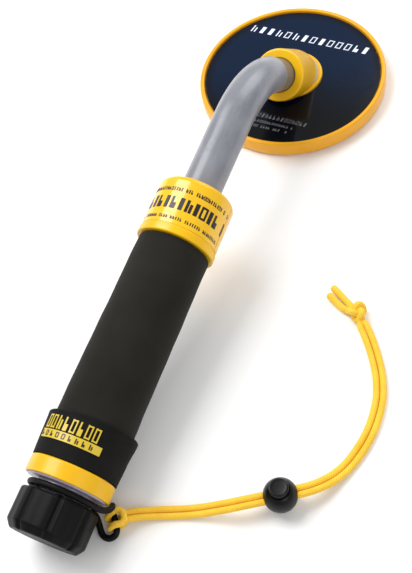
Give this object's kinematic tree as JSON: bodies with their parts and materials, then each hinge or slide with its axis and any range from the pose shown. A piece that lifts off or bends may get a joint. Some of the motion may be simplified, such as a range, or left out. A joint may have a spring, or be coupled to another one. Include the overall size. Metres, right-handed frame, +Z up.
{
  "type": "metal detecting pinpointer probe",
  "caption": "Yellow and black pinpointer probe: round search disc on a bent neck tube, padded pipe handle with a screw-on rear knob and a cord wrist lanyard.",
  "frame": {"origin": "middle of the search disc's flat underside", "axes": "+Z up from the floor it lies on, +Y from the rear knob towards the search disc, +X to the side the lanyard lies on"},
  "size_m": [0.2241, 0.4651, 0.0828],
  "materials": {
    "yellow_plastic": "glossy yellow moulded plastic",
    "grey_plastic": "satin gray extruded plastic pipe",
    "black_plastic": "satin black moulded plastic",
    "white_plastic": "plain white moulded plastic",
    "neoprene": "black foam rubber sleeve with a fine matt skin",
    "rubber": "soft black rubber",
    "navy_label": "glossy printed film",
    "yellow_label": "clear-coated printed film",
    "yellow_cord": "braided cord",
    "copper": "enamelled copper winding",
    "steel": "bright steel",
    "brass": "bright brass sheet",
    "epoxy": "cast resin",
    "board": "green board laminate",
    "foam": "open-cell foam"
  },
  "bodies": {
    "housing": {"front_collar": "yellow_plastic", "collar_label": "yellow_label", "body_tube": "grey_plastic", "grip_sleeve": "neoprene", "grip_cuff": "neoprene", "rear_collar": "yellow_plastic", "threaded_insert": "grey_plastic", "knob_seal_ring": "rubber", "battery_9v": "black_plastic", "battery_snap": "black_plastic", "battery_cradle": "white_plastic", "foam_pad": "foam", "front_bulkhead": "epoxy", "circuit_board": "board", "storage_capacitor": "black_plastic", "driver_chip": "black_plastic", "sensitivity_trimmer": "white_plastic", "coil_switch": "black_plastic", "vibration_motor": "steel", "motor_clamp": "white_plastic", "disc_dish": "yellow_plastic", "disc_cover": "yellow_plastic", "disc_face_label": "navy_label", "coil_former": "white_plastic", "coil_winding": "copper", "coil_potting": "epoxy", "hub_flange": "yellow_plastic", "hub_seal": "white_plastic", "hub_elbow": "yellow_plastic", "neck_tube": "grey_plastic", "coil_cable": "rubber", "tether_loop": "rubber", "lanyard_hitch": "yellow_cord", "lanyard_strand_a": "yellow_cord", "lanyard_strand_b": "yellow_cord", "lanyard_knot": "yellow_cord", "lanyard_tail_a": "yellow_cord", "lanyard_tail_b": "yellow_cord"},
    "knob_carrier": {"contact_plate": "brass", "contact_spring": "steel"},
    "knob": {"rear_knob": "black_plastic"},
    "motor_rotor": {"motor_shaft": "steel", "eccentric_weight": "steel"},
    "cord_lock": {"cord_lock_ball": "black_plastic", "cord_lock_spring": "steel"},
    "lock_button": {"cord_lock_button": "black_plastic"}
  },
  "joints": [
    {"name": "knob_travel", "type": "slide", "parent": "housing", "child": "knob_carrier", "axis": [0, -0.9899, -0.1418], "range_m": [0, 0.012]},
    {"name": "knob_turn", "type": "hinge", "parent": "knob_carrier", "child": "knob", "pos_m": [0, -0.37956, 0.0256], "axis": [0, -0.9899, -0.1418], "range_deg": [0, 1440]},
    {"name": "motor_spin", "type": "hinge", "parent": "housing", "child": "motor_rotor", "pos_m": [0, -0.25483, 0.04346], "axis": [0, -0.9899, -0.1418], "continuous": true},
    {"name": "lock_slide", "type": "slide", "parent": "housing", "child": "cord_lock", "axis": [-0.8387, -0.5446, 0], "range_m": [0, 0.016]},
    {"name": "button_press", "type": "slide", "parent": "cord_lock", "child": "lock_button", "axis": [0, 0, -1], "range_m": [0, 0.0026], "stiffness_N_per_m": 600, "springref_m": -0.002, "deforming": ["cord_lock_spring"]}
  ],
  "couplings": [
    {"joint": "knob_travel", "follows": "knob_turn", "m_per_rad": 0.00047746}
  ]
}
